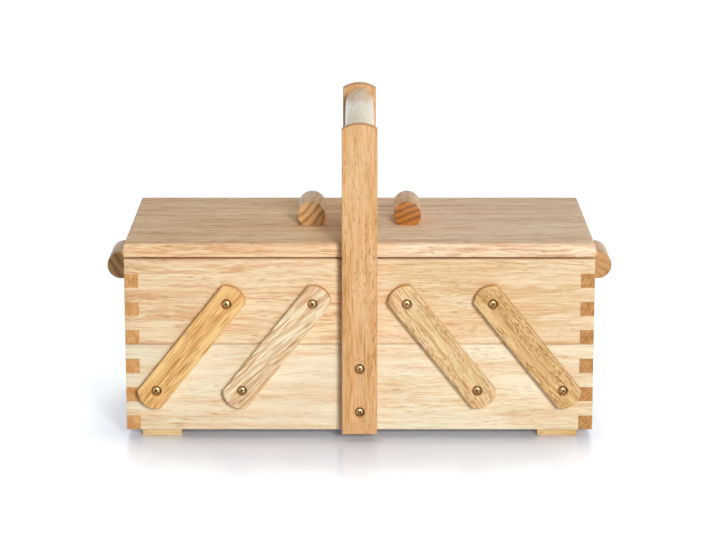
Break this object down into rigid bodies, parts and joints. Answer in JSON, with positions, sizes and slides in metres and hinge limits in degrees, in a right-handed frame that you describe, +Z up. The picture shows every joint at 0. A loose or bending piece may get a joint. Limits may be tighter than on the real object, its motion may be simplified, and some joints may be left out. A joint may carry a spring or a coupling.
{
  "type": "cantilever sewing box",
  "caption": "Wooden cantilever sewing carrier: two trays with hinged lids swing outward on arms over a lower box, with uprights and a round grip.",
  "frame": {"origin": "centre of the plan on the surface the feet stand on", "axes": "+X along the box to its right end, +Y to the rear, +Z up"},
  "size_m": [0.442, 0.23, 0.2749],
  "materials": {
    "pale_wood": "satin lacquer over pale rubberwood, grain along the board",
    "end_wall_wood": "satin lacquer, end grain shows in the corner joints",
    "peach_wood": "satin lacquer, pinkish rubberwood with upright grain",
    "lid_wood": "satin lacquer, edge-glued staves",
    "arm_wood": "satin lacquer, grain along the arm",
    "pull_wood": "satin lacquer, turned dowel",
    "plywood": "thin birch plywood",
    "brass": "brass-plated, slightly aged",
    "nylon": "natural nylon",
    "felt": "brown felt"
  },
  "bodies": {
    "base": {"box_front_wall": "pale_wood", "box_rear_wall": "pale_wood", "box_left_wall": "end_wall_wood", "box_right_wall": "end_wall_wood", "box_bottom": "plywood", "feet": "pale_wood", "upright_front": "peach_wood", "upright_rear": "peach_wood", "upright_spacers": "pale_wood", "upright_screws": "brass", "grip": "pale_wood", "box_pivot_screws": "brass", "box_pivot_washers": "nylon"},
    "left_inner_arm_front": {"left_inner_arm_front": "arm_wood"},
    "left_inner_arm_rear": {"left_inner_arm_rear": "arm_wood"},
    "left_outer_arm_front": {"left_outer_arm_front": "arm_wood"},
    "left_outer_arm_rear": {"left_outer_arm_rear": "arm_wood"},
    "left_tray": {"left_tray_front_wall": "pale_wood", "left_tray_rear_wall": "pale_wood", "left_tray_outer_wall": "end_wall_wood", "left_tray_inner_wall": "end_wall_wood", "left_tray_bottom": "plywood", "left_tray_divider": "plywood", "left_end_pull": "pull_wood", "left_end_pull_screws": "brass", "left_pivot_screws": "brass", "left_pivot_washers": "nylon", "left_rim_leaves": "brass", "left_rim_leaf_screws": "brass", "left_hinge_pins": "brass", "left_lid_pads": "felt"},
    "left_lid": {"left_lid": "lid_wood", "left_lid_pull": "pull_wood", "left_lid_pull_screws": "brass", "left_lid_leaves": "brass", "left_lid_leaf_screws": "brass"},
    "right_inner_arm_front": {"right_inner_arm_front": "arm_wood"},
    "right_inner_arm_rear": {"right_inner_arm_rear": "arm_wood"},
    "right_outer_arm_front": {"right_outer_arm_front": "arm_wood"},
    "right_outer_arm_rear": {"right_outer_arm_rear": "arm_wood"},
    "right_tray": {"right_tray_front_wall": "pale_wood", "right_tray_rear_wall": "pale_wood", "right_tray_outer_wall": "end_wall_wood", "right_tray_inner_wall": "end_wall_wood", "right_tray_bottom": "plywood", "right_tray_divider": "plywood", "right_end_pull": "pull_wood", "right_end_pull_screws": "brass", "right_pivot_screws": "brass", "right_pivot_washers": "nylon", "right_rim_leaves": "brass", "right_rim_leaf_screws": "brass", "right_hinge_pins": "brass", "right_lid_pads": "felt"},
    "right_lid": {"right_lid": "lid_wood", "right_lid_pull": "pull_wood", "right_lid_pull_screws": "brass", "right_lid_leaves": "brass", "right_lid_leaf_screws": "brass"}
  },
  "joints": [
    {"name": "left_swing", "type": "hinge", "parent": "base", "child": "left_inner_arm_front", "pos_m": [-0.1005, -0.1056, 0.0435], "axis": [0, -1, 0], "range_deg": [0, 77]},
    {"name": "left_inner_arm_rear_pivot", "type": "hinge", "parent": "base", "child": "left_inner_arm_rear", "pos_m": [-0.1005, 0.1056, 0.0435], "axis": [0, -1, 0], "range_deg": [0, 77]},
    {"name": "left_outer_arm_front_pivot", "type": "hinge", "parent": "base", "child": "left_outer_arm_front", "pos_m": [-0.1735, -0.1056, 0.0435], "axis": [0, -1, 0], "range_deg": [0, 77]},
    {"name": "left_outer_arm_rear_pivot", "type": "hinge", "parent": "base", "child": "left_outer_arm_rear", "pos_m": [-0.1735, 0.1056, 0.0435], "axis": [0, -1, 0], "range_deg": [0, 77]},
    {"name": "left_tray_level", "type": "hinge", "parent": "left_inner_arm_front", "child": "left_tray", "pos_m": [-0.04, -0.1056, 0.1194], "axis": [0, -1, 0], "range_deg": [-77, 0]},
    {"name": "left_lid_hinge", "type": "hinge", "parent": "left_tray", "child": "left_lid", "pos_m": [-0.2021, 0, 0.1574], "axis": [0, -1, 0], "range_deg": [0, 158]},
    {"name": "right_swing", "type": "hinge", "parent": "base", "child": "right_inner_arm_front", "pos_m": [0.1005, -0.1056, 0.0435], "axis": [0, 1, 0], "range_deg": [0, 77]},
    {"name": "right_inner_arm_rear_pivot", "type": "hinge", "parent": "base", "child": "right_inner_arm_rear", "pos_m": [0.1005, 0.1056, 0.0435], "axis": [0, 1, 0], "range_deg": [0, 77]},
    {"name": "right_outer_arm_front_pivot", "type": "hinge", "parent": "base", "child": "right_outer_arm_front", "pos_m": [0.1735, -0.1056, 0.0435], "axis": [0, 1, 0], "range_deg": [0, 77]},
    {"name": "right_outer_arm_rear_pivot", "type": "hinge", "parent": "base", "child": "right_outer_arm_rear", "pos_m": [0.1735, 0.1056, 0.0435], "axis": [0, 1, 0], "range_deg": [0, 77]},
    {"name": "right_tray_level", "type": "hinge", "parent": "right_inner_arm_front", "child": "right_tray", "pos_m": [0.04, -0.1056, 0.1194], "axis": [0, 1, 0], "range_deg": [-77, 0]},
    {"name": "right_lid_hinge", "type": "hinge", "parent": "right_tray", "child": "right_lid", "pos_m": [0.2021, 0, 0.1574], "axis": [0, 1, 0], "range_deg": [0, 158]}
  ],
  "couplings": [
    {"joint": "left_inner_arm_rear_pivot", "follows": "left_swing", "ratio": 1},
    {"joint": "left_outer_arm_front_pivot", "follows": "left_swing", "ratio": 1},
    {"joint": "left_outer_arm_rear_pivot", "follows": "left_swing", "ratio": 1},
    {"joint": "left_tray_level", "follows": "left_swing", "ratio": -1},
    {"joint": "right_inner_arm_rear_pivot", "follows": "right_swing", "ratio": 1},
    {"joint": "right_outer_arm_front_pivot", "follows": "right_swing", "ratio": 1},
    {"joint": "right_outer_arm_rear_pivot", "follows": "right_swing", "ratio": 1},
    {"joint": "right_tray_level", "follows": "right_swing", "ratio": -1}
  ]
}
